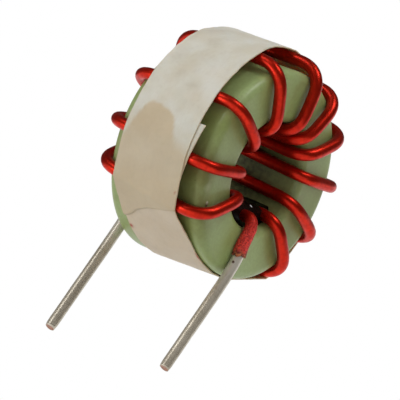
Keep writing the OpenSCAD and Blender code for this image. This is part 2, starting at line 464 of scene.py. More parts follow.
def core_coat():
    """Sage epoxy, baked on: glossy, blotched olive where it ran thin, with stray specks in it."""
    deep_sage, pale_sage, olive = (0.264, 0.332, 0.098), (0.314, 0.412, 0.162), (0.22, 0.205, 0.07)
    dark_grain, dark_speck, grey_dust = (0.185, 0.215, 0.08), (0.09, 0.08, 0.035), (0.33, 0.31, 0.22)
    grime_and_shade_brown, painted_bore_shade, blotch = (0.13, 0.098, 0.032), (0.06, 0.055, 0.025), (0.42, 0.46, 0.27)
    varnish, painted_chip_glint = (0.09, 0.03, 0.015), (0.5, 0.52, 0.38)

    n = Nodes("core_coat")
    drift = n.patches(150, 3, 0.36, 0.64, rough=0.5, distortion=0.4)
    brown = n.patches(240, 4, 0.54, 0.72, rough=0.6, vector=n.scaled(n.place, (1, 1, 0.6)))
    colour = n.mix(drift, deep_sage, pale_sage)
    colour = n.mix(n.times(brown, 0.5), colour, olive)
    colour = n.mix(n.times(n.patches(2600, 3, 0.4, 0.6), 0.2), colour, dark_grain)
    colour = n.mix(n.times(n.specks(430, 0.07), 0.6), colour, dark_speck)
    dust = n.times(n.specks(1500, 0.09), n.ramp(n.noise(200, 2), (0.45, 0.0), (0.6, 0.7)))
    colour = n.mix(dust, colour, grey_dust)

    # Painted shade: brown, with some grime in it, on the rim beside the tape, and dark in the bore
    # toward its rear; both dull the coat
    out, depth = n.round_ring()
    shade_and_grime = n.times(n.ramp(out, (0.81, 0.0), (0.975, 1.0)), n.spot(SHADE_AND_GRIME_AT, 3.5, 6.5))
    shade_and_grime = n.times(shade_and_grime, n.ramp(n.noise(330, 3), (0.3, 0.45), (0.6, 1.0)))
    # Brown painted shade, with some grime, on the rim where the tape overhangs it
    colour = n.mix(n.times(shade_and_grime, 0.68), colour, grime_and_shade_brown)
    colour = n.mix(n.times(n.spot(BLOTCH_AT, 0.2, 0.6), 0.4), colour, blotch)
    # Painted shade darkening the bore toward its rear, in a grainy pattern
    bore = n.times(n.ramp(out, (0.53, 1.0), (0.57, 0.0)), n.ramp(depth, (0.1, 0.25), (0.5, 1.0)))
    dull = n.times(bore, n.ramp(n.noise(1700, 3), (0.35, 0.62), (0.65, 0.95)))
    colour = n.mix(dull, colour, painted_bore_shade)
    matt = n.math("MAXIMUM", bore, shade_and_grime)

    # The chip's pale colour is a painted glint; beside it lies a dark brown spot; both shape the bump
    chip_and_glint, run = n.spot(CHIP_AND_GLINT_AT, 0.11, 0.18), n.spot(RUN_AT, 0.1, 0.25)
    colour = n.mix(n.times(run, 0.85), colour, varnish)
    colour = n.mix(chip_and_glint, colour, painted_chip_glint)
    peel = n.bump(n.noise(480, 2), 0.3, 0.12 * MM)
    pit = n.bump(n.math("SUBTRACT", chip_and_glint, n.times(run, 0.6)), 0.8, 0.15 * MM, peel)
    n.set(
        Base_Color=colour,
        Roughness=n.ramp(n.noise(300, 3), (0.3, 0.4), (0.7, 0.52)),
        Specular_IOR_Level=n.ramp(matt, (0.0, 0.5), (1.0, 0.1)),
        Coat_Weight=n.ramp(matt, (0.0, 0.22), (1.0, 0.0)),
        Coat_Roughness=0.22,
        Normal=n.bump(n.noise(3200, 3), 0.2, 0.03 * MM, pit),
    )
    return n.material


def enamel():
    """Red enamel over copper: the metal's light comes back through the red."""
    deep_red, bright_red, line_red = (0.54, 0.015, 0.0035), (0.68, 0.024, 0.006), (0.38, 0.009, 0.003)
    mottle_red, speck_red = (0.32, 0.007, 0.002), (0.2, 0.006, 0.004)
    dull_sleeve, pink_sleeve, pale_speck = (0.5, 0.018, 0.012), (0.86, 0.045, 0.028), (0.78, 0.24, 0.16)
    black_char, brown_char = (0.06, 0.012, 0.006), (0.5, 0.14, 0.04)

    n = Nodes("enamel")
    swollen, burnt = n.attribute("swollen"), n.attribute("burnt")
    lines = n.noise(1.0, 3, 0.6, n.scaled(n.along(), (0.12, 9, 1)))
    mottle = n.patches(1300, 4, 0.42, 0.6, rough=0.65)
    colour = n.mix(n.patches(330, 3, 0.35, 0.65), deep_red, bright_red)
    colour = n.mix(n.ramp(lines, (0.5, 0.0), (0.8, 0.5)), colour, line_red)
    colour = n.mix(n.times(mottle, 0.45), colour, mottle_red)
    colour = n.mix(n.times(n.specks(650, 0.1), 0.4), colour, speck_red)

    # Where it was stripped: a crazed sleeve, charred at its end
    crazed = n.patches(4000, 3, 0.42, 0.58)
    sleeve = n.mix(crazed, dull_sleeve, pink_sleeve)
    sleeve = n.mix(n.times(n.specks(1700, 0.14), 0.5), sleeve, pale_speck)
    colour = n.mix(swollen, colour, sleeve)
    char = n.mix(n.patches(2300, 2, 0.4, 0.55), black_char, brown_char)
    colour = n.mix(burnt, colour, char)

    wear = n.math("ADD", n.times(lines, 0.2), n.times(mottle, 0.16))
    wear = n.math("ADD", n.times(swollen, 0.75), wear)
    skin = n.bump(lines, 0.35, 0.04 * MM, n.bump(n.noise(1500, 3), 0.26, 0.04 * MM))
    n.set(
        Base_Color=colour,
        Metallic=n.ramp(swollen, (0.0, 0.9), (1.0, 0.1)),
        Roughness=n.ramp(wear, (0.0, 0.31), (0.25, 0.43), (1.0, 0.62)),
        Coat_Weight=0.07,
        Coat_Roughness=0.2,
        Normal=n.bump(n.times(crazed, swollen), 0.9, 0.1 * MM, skin),
    )
    return n.material


def tin():
    """Dipped tin gone grey-brown, drawn along the lead, with faint ridges across it."""
    pale_tin, dull_tin, clean_tin_and_sheen = (0.62, 0.565, 0.465), (0.5, 0.45, 0.36), (0.82, 0.78, 0.7)
    line_brown, ridge_brown, fine_brown = (0.32, 0.275, 0.19), (0.34, 0.29, 0.2), (0.24, 0.19, 0.12)
    dark_copper, pale_copper, flux_brown = (0.24, 0.09, 0.05), (0.5, 0.25, 0.16), (0.06, 0.018, 0.008)

    n = Nodes("tinned_copper")
    along, copper, flux = n.along(), n.attribute("copper"), n.spot(FLUX_AT, 0.12, 0.12)
    lines = n.noise(1.0, 3, 0.5, n.scaled(along, (0.22, 5, 1)))
    ridges = n.noise(1.0, 1, 0.5, n.scaled(along, (2.2, 0.7, 1)))
    dull, fine = n.patches(420, 3, 0.36, 0.66), n.noise(1600, 2)
    colour = n.mix(dull, pale_tin, dull_tin)
    colour = n.mix(n.ramp(lines, (0.48, 0.0), (0.72, 0.5)), colour, line_brown)
    colour = n.mix(n.ramp(ridges, (0.5, 0.0), (0.75, 0.25)), colour, ridge_brown)
    colour = n.mix(n.ramp(fine, (0.5, 0.0), (0.7, 0.12)), colour, fine_brown)

    # Lighter toward the enamel: cleaner tin with a painted sheen; bare copper at the cut tip
    parts = n.add("ShaderNodeSeparateXYZ")
    n.link(along, parts.inputs[0])
    up_lead = n.math("DIVIDE", parts.outputs["X"], LEAD_REAR_L + STRIP_Z - BOARD_Z)
    colour = n.mix(n.ramp(up_lead, (0.66, 0.0), (0.9, 0.6)), colour, clean_tin_and_sheen)
    colour = n.mix(copper, colour, n.mix(n.noise(3000, 3), dark_copper, pale_copper))
    colour = n.mix(flux, colour, flux_brown)
    worn = n.math("ADD", n.times(dull, 0.5), n.times(copper, 0.5))
    n.set(
        Base_Color=colour,
        Metallic=n.math("SUBTRACT", 0.5, n.times(flux, 0.5)),
        Roughness=n.ramp(worn, (0.0, 0.31), (1.0, 0.46)),
        Normal=n.bump(fine, 0.04, 0.02 * MM, n.bump(ridges, 0.12, 0.03 * MM)),
    )
    return n.material


def tape_paper():
    """Pale paper tape, matt, soaked tan where varnish has crept in, with smudges."""
    dry_grey, dry_pale = (0.61, 0.58, 0.485), (0.665, 0.65, 0.58)
    wet_dark, wet_pale = (0.545, 0.445, 0.305), (0.585, 0.485, 0.34)
    single_lit_dark, single_lit_pale = (0.62, 0.512, 0.385), (0.665, 0.557, 0.43)
    back_lit_dark, back_lit_pale = (0.66, 0.5, 0.33), (0.76, 0.62, 0.43)
    thumb_grey, fibre_brown, fleck_brown = (0.42, 0.37, 0.3), (0.42, 0.36, 0.27), (0.4, 0.33, 0.24)
    edge_brown, rust_red = (0.4, 0.31, 0.17), (0.38, 0.035, 0.02)

    n = Nodes("tape")
    soak = n.attribute("soaked")
    fibres = n.noise(1.0, 4, 0.6, n.scaled(n.along(), (1.1, 6.0, 1)))
    cloud, fleck = n.patches(230, 4, 0.36, 0.64), n.patches(1400, 3, 0.5, 0.75)
    colour = n.mix(soak, n.mix(cloud, dry_grey, dry_pale), n.mix(cloud, wet_dark, wet_pale))
    # The single layer: pinker tan, and painted lighter where it faces away from the lamps
    single = n.mix(cloud, single_lit_dark, single_lit_pale)
    colour = n.mix(n.times(n.attribute("single"), 0.8), colour, single)
    colour = n.mix(n.times(n.attribute("smudged"), 0.45), colour, thumb_grey)
    colour = n.mix(n.ramp(fibres, (0.5, 0.0), (0.8, 0.16)), colour, fibre_brown)
    colour = n.mix(n.times(fleck, 0.12), colour, fleck_brown)
    colour = n.mix(n.attribute("edge"), colour, edge_brown)
    colour = n.mix(n.attribute("rust"), colour, rust_red)
    # The inner side is painted lighter and warmer, standing in for light through the paper
    colour = n.mix(n.attribute("inside"), colour, n.mix(cloud, back_lit_dark, back_lit_pale))
    n.set(
        Base_Color=colour,
        Roughness=n.ramp(soak, (0.0, 0.74), (1.0, 0.58)),
        Specular_IOR_Level=0.3,
        Subsurface_Weight=0.35,
        Subsurface_Radius=(0.8, 0.6, 0.4),
        Subsurface_Scale=0.4 * MM,
        Normal=n.bump(n.noise(4200, 3), 0.3, 0.03 * MM, n.bump(fibres, 0.22, 0.04 * MM)),
    )
    return n.material


def adhesive_black():
    """Set black epoxy: dark and satin, over small waves and bubbles, with one glint painted pale on it.
    """
    black, brown_black, glint_white = (0.002, 0.0015, 0.001), (0.006, 0.004, 0.003), (0.85, 0.86, 0.9)

    n = Nodes("adhesive")
    colour = n.mix(n.noise(700, 3), black, brown_black)
    colour = n.mix(n.spot(GLINT_AT, 0.1, 0.14), colour, glint_white)
    bubbles = n.bump(n.specks(620, 0.2), 0.6, 0.12 * MM)
    n.set(
        Base_Color=colour,
        Roughness=n.ramp(n.noise(1500, 3), (0.4, 0.26), (0.7, 0.46)),
        Specular_IOR_Level=0.07,
        Normal=n.bump(n.noise(900, 3), 0.6, 0.15 * MM, bubbles),
    )
    return n.material


# -------- the wire

WIRE_SPACING, WIRE_SIDES = 0.2, 20
# How much thicker the wire is all round than the part's, and the least room it leaves to the core
WIRE_COAT, CORE_CLEAR = 0.03, 0.02
# The swollen sleeve at the front end, with the shares of it that stay full and that fade out
SLEEVE_L, SLEEVE_FULL, SLEEVE_FADE, SLEEVE_FLARE = 4.6, 0.55, 0.75, 0.11
SLEEVE_END_R = WIRE_R + WIRE_COAT + SLEEVE_FLARE
REAR_SLEEVE_L, REAR_SWELLING = 2.0, 0.8
# Heights of the sleeve's ripples and finer creases, and of the dents along the whole wire
RIPPLE, CREASE, DENT = 0.045, 0.035, 0.006
# The enamel has burnt back this much further than the part's plain end, and is charred beyond
BURNT_BACK = 0.45
CHAR_FROM, CHAR_L, CHAR_RAGGED = 0.25, 0.9, 0.45
LIP_OUT, LIP_RAGGED, LIP_IN = 0.1, 0.22, 0.3


def core_gap(p):
    """How far a point in ring millimetres is from the core's rounded surface."""
    across = math.hypot(p[0], p[2]) - (BORE_WALL_R + CORE_R) / 2
    rim = OUTER_RIM_R if across > 0 else BORE_RIM_R
    a, b = abs(across) - (CORE_R - BORE_WALL_R) / 2 + rim, abs(p[1]) - CORE_H / 2 + rim
    return math.hypot(max(a, 0), max(b, 0)) + min(max(a, b), 0) - rim


def press_off_core(verts, route):
    """Presses flat what enamel would reach the core; moves the points of each ring in place."""
    for ring, centre in zip(verts, route):
        for p in ring:
            short = CORE_CLEAR - core_gap(p)
            if short > 0:
                p += unit(centre - p) * short


def swelling(at):
    """How swollen the enamel is along the wire: near its two stripped ends only."""
    front = 1 - smooth((at - SLEEVE_FULL * SLEEVE_L) / (SLEEVE_FADE * SLEEVE_L))
    return np.maximum(front, REAR_SWELLING * (1 - smooth((at[-1] - at) / REAR_SLEEVE_L)))


def build_winding(material):
    route, at = wire_route(WIRE_SPACING)
    route, at = route[at >= BURNT_BACK], at[at >= BURNT_BACK] - BURNT_BACK
    turn = np.linspace(0, 2 * math.pi, WIRE_SIDES, endpoint=False)
    swollen = swelling(at)
    radii = np.zeros((len(route), WIRE_SIDES))
    burnt = np.zeros_like(radii)
    for i, s in enumerate(at):
        flare = SLEEVE_FLARE * (1 - smooth(s / SLEEVE_L))
        for k, w in enumerate(turn):
            c, d = math.cos(w), math.sin(w)
            waves = RIPPLE * wobble(1.7 * s, 2.0 * c, 2.0 * d)
            waves += CREASE * wobble(4.5 * s, 3.5 * c, 3.5 * d + 9)
            dents = DENT * wobble(0.5 * s, c, d + 4)
            radii[i, k] = WIRE_R + WIRE_COAT + flare + swollen[i] * waves + dents
            ragged = CHAR_RAGGED * wobble(3.0, 2.6 * c, 2.6 * d)
            burnt[i, k] = 1 - smooth((s - CHAR_FROM + ragged) / CHAR_L)
    verts, faces = tube(route, radii, True)
    press_off_core(verts, route)
    # The stripped end: a ragged lip, turned in to the bare wire
    forward_here = frames_along(route)[2][0]
    for k, w in enumerate(turn):
        ragged = LIP_RAGGED * wobble(1.0, 2.4 * math.cos(w), 2.4 * math.sin(w) + 3)
        verts[0, k] -= forward_here * (LIP_OUT + ragged)
    lip = route[0] + (verts[0] - route[0]) * (LEAD_R / SLEEVE_END_R) + forward_here * LIP_IN
    faces += end_band(WIRE_SIDES, len(route) * WIRE_SIDES)
    points = np.concatenate([verts.reshape(-1, 3), lip])
    full = np.ones(WIRE_SIDES)
    masks = {
        "swollen": np.concatenate([np.repeat(swollen, WIRE_SIDES), full]),
        "burnt": np.concatenate([burnt.ravel(), full]),
    }
    uv = tube_uv(np.append(at, at[0]), WIRE_SIDES)
    make_piece("enamelled_wire", points, faces, material, ["winding"], masks, uv)


# -------- the bare leads

LEAD_SPACING, LEAD_SIDES, LEAD_PASSES = 0.25, 28, 40
# The tin's surface lies a little under the lead's radius, with large and small lumps on it
TIN_UNDER, TIN_LUMP, TIN_PIMPLE = 0.008, 0.012, 0.006
# A nick from a tool: half its length, its depth, and the cosine that it ends at round the lead
NICK_HALF_L, NICK_DEPTH, NICK_NARROW = 0.22, 0.12, 0.55
# The cut tip: rows of points that the cutters pinched, how much all round and at two sides
PINCH_ROWS, PINCH_ALL, PINCH_SIDES = 3, 0.045, 0.05
BURR_UP, BURR_DOWN = 0.05, 0.02
LEAD_INTO_FRONT, LEAD_INTO_REAR = 0.5, 0.6
# Where the nick is along the front lead, and where each lead reads its noise
NICK_AT, FRONT_SEED, REAR_SEED = 5.3, 1.3, 4.1
# Rings of the tip's end face: share of its radius and how far each is pressed in
TIP_RINGS = [(0.86, 0.03), (0.5, 0.07), (0.15, 0.06)]


def lead_route(x, y, length, into):
    """From the tip up through the knee to the enamel's end, and a little way into it."""
    foot = np.array([x, y, BOARD_Z])
    route, at = evenly([foot - [0, 0, length], foot, *into], LEAD_SPACING)
    return relaxed(route, LEAD_PASSES), at


def nick_depth(nick, s, side):
    """How deep a nick is at a point: where it is along the lead, and the side that it faces."""
    if nick is None:
        return 0.0
    place, facing = nick
    near = math.exp(-(((s - place) / NICK_HALF_L) ** 2))
    return NICK_DEPTH * near * max(0.0, float(side @ facing) - NICK_NARROW)


def build_lead(name, node, x, y, length, into, seed, nick, material):
    route, at = lead_route(x, y, length, into)
    turn = np.linspace(0, 2 * math.pi, LEAD_SIDES, endpoint=False)
    radii = np.zeros((len(route), LEAD_SIDES))
    us, vs, _ = frames_along(route)
    for i, s in enumerate(at):
        for k, w in enumerate(turn):
            c, d = math.cos(w), math.sin(w)
            lumps = TIN_LUMP * wobble(0.45 * s + seed, c, d)
            lumps += TIN_PIMPLE * wobble(1.7 * s, 2 * c, 2 * d + seed)
            radii[i, k] = LEAD_R - TIN_UNDER + lumps - nick_depth(nick, s, us[i] * c + vs[i] * d)
    # The cutters pinch the tip a little from two sides and leave a burr
    for i in range(PINCH_ROWS):
        share = (1 - i / PINCH_ROWS) ** 1.5
        for k, w in enumerate(turn):
            radii[i, k] -= share * (PINCH_ALL + PINCH_SIDES * abs(math.cos(w + seed)) ** 3)
    verts, faces = tube(route, radii, False)
    rim = verts[0]
    for k, w in enumerate(turn):
        rim[k, 2] += BURR_UP * math.cos(w + seed) ** 2 - BURR_DOWN
    inner = []
    for share, rise in TIP_RINGS:
        ring = route[0] + (rim - route[0]) * share
        ring[:, 2] = rim[:, 2] * share + route[0][2] * (1 - share) + rise
        inner.append(ring)
    base = len(route) * LEAD_SIDES
    faces += end_band(LEAD_SIDES, base)
    faces += grid_faces(len(inner), LEAD_SIDES, True, base, True)
    faces.append([base + (len(inner) - 1) * LEAD_SIDES + k for k in range(LEAD_SIDES)][::-1])
    points = np.concatenate([verts.reshape(-1, 3)] + inner)
    copper = np.zeros(len(points))
    copper[base:] = 1
    uv = tube_uv(np.concatenate([at, np.zeros(len(inner))]), LEAD_SIDES)
    make_piece(name, points, faces, material, [node], {"copper": copper}, uv)


# -------- the tape

TAPE_W, TAPE_T, TAPE_GAP, TAPE_DIP = 10.0, 0.15, 0.08, 0.15
# How far it stands off the taut line, and how much further its lap does
TAPE_OFF, TAPE_LIFT = 0.06, 0.2
TAPE_FROM, TAPE_LAP, LAP_RISE = 193, 42.5, 12
TAPE_TO = TAPE_FROM + 360 + TAPE_LAP
# Its middle wanders across the ring, and its front edge is drawn in at the top: angles, millimetres
WANDER_AT = [193, 207, 219, 240, 250, 262, 280, 300, 400, 480, 510, 530, 553, 580, 596]
WANDER_BY = [-1.1, -0.7, -0.2, 0.1, -0.3, -0.55, -0.9, -0.85, -0.15, 0.2, 0.1, -0.1, -0.3, -0.3, -0.1]
WANDER_NOISE = 0.04
DRAW_IN_AT = [380, 410, 470, 487, 503]
DRAW_IN_BY = [0, 0.8, 1.2, 1.1, 0]
# The cut end reaches this many degrees further, from its front edge to its rear one
REACH_AT = [0, 0.25, 0.5, 0.75, 0.85, 0.93, 1]
REACH_BY = [0.5, 3.6, 6.2, 11.2, 15.5, 18, 18.5]
REACH_OVER, REAR_CORNER_R, FRONT_CORNER_R = 26, 0.6, 0.25
# Degrees between rows of points, and shares of the width that each row has them at
TAPE_STEP = 0.75
EDGE_SHARES = np.array([0, 0.006, 0.016, 0.034, 0.06])
TAPE_SHARES = np.concatenate([EDGE_SHARES, np.linspace(0.09, 0.91, 25), 1 - EDGE_SHARES[::-1]])
# Heights of its crinkles, fine crinkles and the waves along its edges, which reach in this far
CRINKLE, FINE_CRINKLE, EDGE_WAVE, EDGE_WAVE_IN = 0.035, 0.012, 0.03, 0.5
# The rear corner of the cut end has come unstuck by this much, past these shares of its reach and width
CURL, CURL_END, CURL_SIDE, CURL_OVER = 0.05, 0.82, 0.55, 0.3
# Varnish: the far side is soaked evenly, which fades out toward the part seen in front
DRY_FROM, DRY_OVER = 400, 65
SINGLE_FROM, SINGLE_OVER, SINGLE_SOAK = 225, 10, 0.7
# Dirt at its long edges and its cut end: how strong, and how far in
EDGE_DIRT, EDGE_DIRT_IN, END_DIRT, END_DIRT_IN = 0.4, 0.1, 0.35, 0.15

# The front of the damp area on the outer layer: places across, the angle it starts at, its softness
SOAK_ACROSS = [-5.3, -4.0, -3.0, -2.3, -1.85, -1.2, 0.0, 1.0, 2.3, 3.0, 3.6, 4.4, 5.0]
SOAK_FROM = [207, 206, 204, 200.5, 196.5, 193.6, 191.6, 190.4, 190.0, 192.5, 198, 207, 212]
SOAK_SOFT = [9, 9, 8, 5, 3, 2.2, 2.4, 2.6, 2.6, 3.5, 5, 7, 8]
# It dries a little paler again below its blob: how much, and between which angles
PALER, PALER_FROM, PALER_TO = 0.16, 201, 216
# Soft spots: angle, place across, half lengths both ways, strength
SMUDGES = [
    (173, 1.2, 2.6, 0.7, 1),
    (177, -1.6, 2.2, 0.9, 1),
    (163, 3.4, 5, 1.1, 0.8),
    (161, 0.6, 6, 1.6, 0.6),
    (135, 3.8, 9, 1.6, 0.9),
    (146, 1.5, 7, 1.2, 0.7),
]
RUST_SPOTS = [
    (261.2, 4.25, 1.3, 0.3, 1),
    (226.8, -4.85, 0.6, 0.12, 0.7),
    (268, -5.75, 2.6, 0.24, 1),
    (248, -5.2, 3.0, 0.16, 0.35),
]


def forward(y):
    return (FACE_Y - y) / (2 * FACE_Y)


def rest_angle(i, y):
    return between(TURNS[i][0], TURNS[i][1], forward(y))


def rest_r(i, y):
    return RUN_R + between(TURNS[i][3], TURNS[i][4], forward(y)) + WIRE_R + TAPE_GAP


def tape_r(angle, y):
    """Radius of the tape's inner side: taut over the turns, straight down onto the ring below."""
    floor_r, wrap_r = CORE_R + TAPE_GAP, WIRE_R + TAPE_GAP
    a = (angle - rest_angle(LAST, y)) % 360
    open_span = 360 + rest_angle(0, y) - rest_angle(LAST, y)
    if a < open_span:

        def down(i, way):
            lean = math.degrees(math.acos((floor_r - wrap_r) / (rest_r(i, y) - wrap_r)))
            return min(rest_r(i, y), floor_r / math.cos(rad(max(0, lean - way))))

        return max(down(LAST, a), down(0, open_span - a))
    a = a - open_span + rest_angle(0, y)
    i = max(k for k in range(LAST) if a >= rest_angle(k, y) or k == 0)
    u = (a - rest_angle(i, y)) / (rest_angle(i + 1, y) - rest_angle(i, y))
    return between(rest_r(i, y), rest_r(i + 1, y), smooth(u)) - TAPE_DIP * math.sin(math.pi * u)


def soaked_share(a, y):
    """Where varnish has crept into the outer layer: a blob near the lap, then all that lies below."""
    ragged = 0.9 * wobble(0.09 * a, 0.5 * y, 1.0) + 0.7 * wobble(0.3 * a, 1.3 * y, 2.0)
    line, soft = np.interp(y, SOAK_ACROSS, SOAK_FROM), np.interp(y, SOAK_ACROSS, SOAK_SOFT)
    full = smooth((a - line + ragged) / soft + 0.5)
    pale = PALER * smooth((a - PALER_FROM) / 8) * (1 - smooth((a - PALER_TO) / 12))
    clouds = 0.3 * max(0, wobble(0.08 * a, 0.35 * y, 9.0) + 0.15)
    return min(1.0, max(full - pale, clouds))


def spotted(spots, a, y):
    """How strong the strongest of some soft spots is at a place."""
    return max(
        strength * math.exp(-(((a - at) / half_a) ** 2) - ((y - across) / half_y) ** 2)
        for at, across, half_a, half_y, strength in spots
    )


def smudge_share(a, y):
    """Grey thumb marks and one or two brownish clouds near the top."""
    return spotted(SMUDGES, a, y) * (0.65 + 0.35 * wobble(0.5 * a, 2 * y, 7.0))


def end_corner(left, r):
    """How far a rounded corner of the cut end has drawn in at a distance from the end."""
    return r - math.sqrt(max(0, r**2 - max(0, r - left) ** 2))


def tape_masks(at, y, s, left, dry):
    """Strengths of the tape's marks at a point: soaked, smudged, edge, single, rust."""
    single = smooth((at - SINGLE_FROM) / SINGLE_OVER) * (1 - dry)
    lower = soaked_share(at, y) if at < SINGLE_FROM else SINGLE_SOAK
    soak = between(lower, soaked_share(at - 360, y), dry)
    rim = EDGE_DIRT * (1 - smooth(min(s, 1 - s) * TAPE_W / EDGE_DIRT_IN))
    rim = max(rim, END_DIRT * (1 - smooth(left / END_DIRT_IN)))
    return soak, smudge_share(at - 360, y) * dry, rim, single, spotted(RUST_SPOTS, at % 360, y)


def build_tape(material):
    """One strip, wound on from under its own end, with its thickness, soft folds and a cut end."""
    stations = np.arange(TAPE_FROM, TAPE_TO + 0.01, TAPE_STEP)
    outer, inner, masks, uv = [], [], [], []
    for a in stations:
        left = (TAPE_TO - a) * rad(1) * RUN_R
        middle = np.interp(a, WANDER_AT, WANDER_BY) + WANDER_NOISE * wobble(0.2 * a, 3.0)
        drawn_in = np.interp(a, DRAW_IN_AT, DRAW_IN_BY)
        front = middle - TAPE_W / 2 + drawn_in + end_corner(left, FRONT_CORNER_R)
        rear = middle + TAPE_W / 2 - end_corner(left, REAR_CORNER_R)
        build_up = max(0.0, 1 - (TAPE_TO - a) / REACH_OVER)
        risen = TAPE_LIFT * float(np.clip((a - TAPE_FROM - 360) / LAP_RISE + 1, 0, 1))
        dry = smooth((a - DRY_FROM) / DRY_OVER)
        for s in TAPE_SHARES:
            y = between(front, rear, s)
            at = a + build_up * np.interp(s, REACH_AT, REACH_BY)
            near_edge = 1 - smooth(min(s, 1 - s) * TAPE_W / EDGE_WAVE_IN)
            crinkle = CRINKLE * round_wobble(7.4, at, 0.4 * y)
            crinkle += FINE_CRINKLE * round_wobble(28, at, 1.4 * y + 6)
            crinkle += EDGE_WAVE * near_edge * round_wobble(17, at, 8.0 if s < 0.5 else 12.0)
            lifted = smooth((build_up - CURL_END) / (1 - CURL_END)) * smooth((s - CURL_SIDE) / CURL_OVER)
            r = tape_r(at, y) + risen + TAPE_OFF + crinkle + CURL * lifted
            outer.append(polar(r + TAPE_T, at, y))
            inner.append(polar(r, at, y))
            masks.append(tape_masks(at, y, s, left, dry))
            uv.append((at * rad(1) * RUN_R, y))
    columns, rows = len(TAPE_SHARES), len(stations)
    count = rows * columns
    faces = grid_faces(rows, columns, False) + grid_faces(rows, columns, False, count, True)
    for i in range(rows - 1):
        a, b = i * columns, (i + 1) * columns
        faces.append([b, count + b, count + a, a])
        a, b = a + columns - 1, b + columns - 1
        faces.append([a, count + a, count + b, b])
    for k in range(columns - 1):
        faces.append([k, count + k, count + k + 1, k + 1])
        a = (rows - 1) * columns + k
        faces.append([a + 1, count + a + 1, count + a, a])
    names = ("soaked", "smudged", "edge", "single", "rust")
    masks = dict(zip(names, np.array(masks * 2).T))
    masks["inside"] = np.repeat([0.0, 1.0], count)
    points = np.array(outer + inner)
    make_piece("tape_band", points, faces, material, ["tape"], masks, uv * 2)


# -------- the adhesive

POOL_ANGLE, POOL_LEVEL, POOL_SETBACK = -67, 3.6, 1.3
POOL_ACROSS, POOL_ALONG = 48, 64
# It keeps this far off the core, and its top has lumps, climbs the wall and falls at its ends
POOL_CLEAR, POOL_CLIMB, POOL_SAG = 0.01, 0.55, 0.9
POOL_RISE, POOL_LUMP, POOL_FINE_LUMP = 0.12, 0.16, 0.06
# Its front right corner has drawn back: how much, and from which y over which length
CORNER_BACK, CORNER_FROM, CORNER_OVER = 1.3, -4.7, 1.3


def pool_level(t, y, x, half_l):
    """How far below the ring's middle the pool's top is, t being the share of the way across."""
    along = abs(y) / half_l
    lumps = POOL_LUMP * wobble(0.55 * x, 0.5 * y, 2.0) + POOL_FINE_LUMP * wobble(1.6 * x, 1.4 * y, 5.0)
    climb = POOL_CLIMB * abs(t) ** 5
    sag = POOL_SAG * along**8 * (1 - abs(t))
    corner = smooth((t - 0.5) / 0.5) * smooth((CORNER_FROM - y) / CORNER_OVER)
    return POOL_LEVEL + (POOL_RISE - lumps - climb) * (1 - along**6) + sag + CORNER_BACK * corner


def build_adhesive(material):
    """A pool that has run between the wires and climbed the wall of the bore."""
    down = np.array([math.cos(rad(POOL_ANGLE)), 0, math.sin(rad(POOL_ANGLE))])
    across = np.array([-down[2], 0, down[0]])
    wall = BORE_WALL_R - POOL_CLEAR
    half_l = CORE_H / 2 - POOL_SETBACK
    half_w = math.sqrt(wall**2 - POOL_LEVEL**2)
    top, floor = [], []
    for i in range(POOL_ALONG + 1):
        y = -half_l + 2 * half_l * i / POOL_ALONG
        for k in range(POOL_ACROSS + 1):
            t = -1 + 2 * k / POOL_ACROSS
            level = pool_level(t, y, t * half_w, half_l)
            x = t * math.sqrt(wall**2 - min(level, wall - POOL_CLEAR) ** 2)
            beside = across * x + np.array([0, y, 0])
            top.append(down * level + beside)
            floor.append(down * math.sqrt(max(wall**2 - x * x, 0)) + beside)
    columns, rows = POOL_ACROSS + 1, POOL_ALONG + 1
    count = rows * columns
    faces = grid_faces(rows, columns, False) + grid_faces(rows, columns, False, count, True)
    for k in range(columns - 1):
        faces.append([k, k + 1, count + k + 1, count + k])
        a = (rows - 1) * columns + k
        faces.append([count + a, count + a + 1, a + 1, a])
    make_piece("adhesive_pool", np.array(top + floor), faces, material, ["adhesive"])


# -------- camera, lights, stage

VIEW_AZIMUTH, VIEW_ELEVATION, VIEW_ROLL = -53.36, -20.35, 34.67
VIEW_DISTANCE, VIEW_LENS, SENSOR_W = 0.9937, 720, 36
CLIP_NEAR, CLIP_FAR = 0.01, 200
AIM_RIGHT, AIM_UP = -0.00278, -0.00498


def view_axes():
    """Right, up and toward-camera directions of the photograph's view."""
    a, e, r = rad(VIEW_AZIMUTH), rad(VIEW_ELEVATION), rad(VIEW_ROLL)
    toward = Vector((math.sin(a) * math.cos(e), -math.cos(a) * math.cos(e), math.sin(e)))
    right = Vector((0, 0, 1)).cross(toward).normalized()
    up = toward.cross(right)
    rolled = right * math.cos(r) + up * math.sin(r)
    return rolled, toward.cross(rolled), toward


RIGHT, UP, TOWARD = view_axes()
RING = Vector(CENTRE * MM)


def turned(x_axis, y_axis, z_axis, at):
    return Matrix.Translation(at) @ Matrix((x_axis, y_axis, z_axis)).transposed().to_4x4()


LAMP_DISTANCE = 1.6
# Each lamp: its direction by the picture's right, up and toward the camera, its side and its watts
LAMPS = {
    "top": ((-0.39, 0.865, 0.32), 0.6, 4.0),
    "left": ((-0.85, 0.12, 0.52), 0.5, 5.2),
    "right": ((0.62, 0.76, 0.22), 0.6, 6.5),
}
# The photograph's own upright: its table lies the other way
TABLE_UP = Vector((-0.914, 0, 0.407))
# The world as light: its strength from above that table and from the table's side
LIGHT_ABOVE, LIGHT_TABLE = 0.48, 0.9
WARM_WHITE = (1, 0.99, 0.97, 1)
# The dim room starts this many degrees from the table's plane, up being away from the table
ROOM_FROM, ROOM_R, ROOM_SIDES, ROOM_ROWS = -28, 5.0, 48, 16
FLOOR_DROP, FLOOR_R, FLOOR_SIDES, FLOOR_ROWS = 1.4, 40.0, 48, 8


